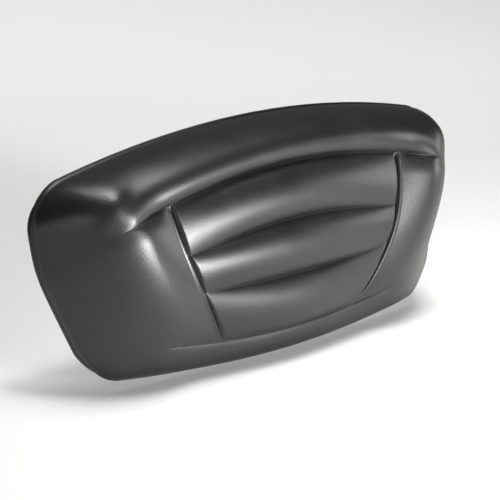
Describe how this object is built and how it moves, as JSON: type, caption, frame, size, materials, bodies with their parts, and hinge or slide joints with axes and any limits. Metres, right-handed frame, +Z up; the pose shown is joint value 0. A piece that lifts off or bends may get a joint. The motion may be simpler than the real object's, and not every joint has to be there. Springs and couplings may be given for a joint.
{
  "type": "top case backrest pad",
  "caption": "Black self-skinned foam backrest pad for a motorbike top case lid: a head roll, rolled middle panel and side bolsters on a stiff back plate with threaded bushes.",
  "frame": {"origin": "the middle of the lid seat: the centre of the four-hole fixing pattern, on the back face that lies on the lid, on the pad's middle plane", "axes": "X is the pad's width, its longest side; Z is up; the rider's side faces -Y; the seat leans back 13.7 degrees from upright about X, as the lid's face does"},
  "size_m": [0.385, 0.0716, 0.1639],
  "materials": {
    "skin_foam": "satin black moulded skin with a very fine leather grain",
    "plate_plastic": "fine matte black moulded plastic",
    "bush_brass": "plain turned brass"
  },
  "bodies": {
    "root": {"pad_moulding": "skin_foam", "backing_plate": "plate_plastic", "threaded_bush_1": "bush_brass", "threaded_bush_2": "bush_brass", "threaded_bush_3": "bush_brass", "threaded_bush_4": "bush_brass"}
  },
  "joints": []
}
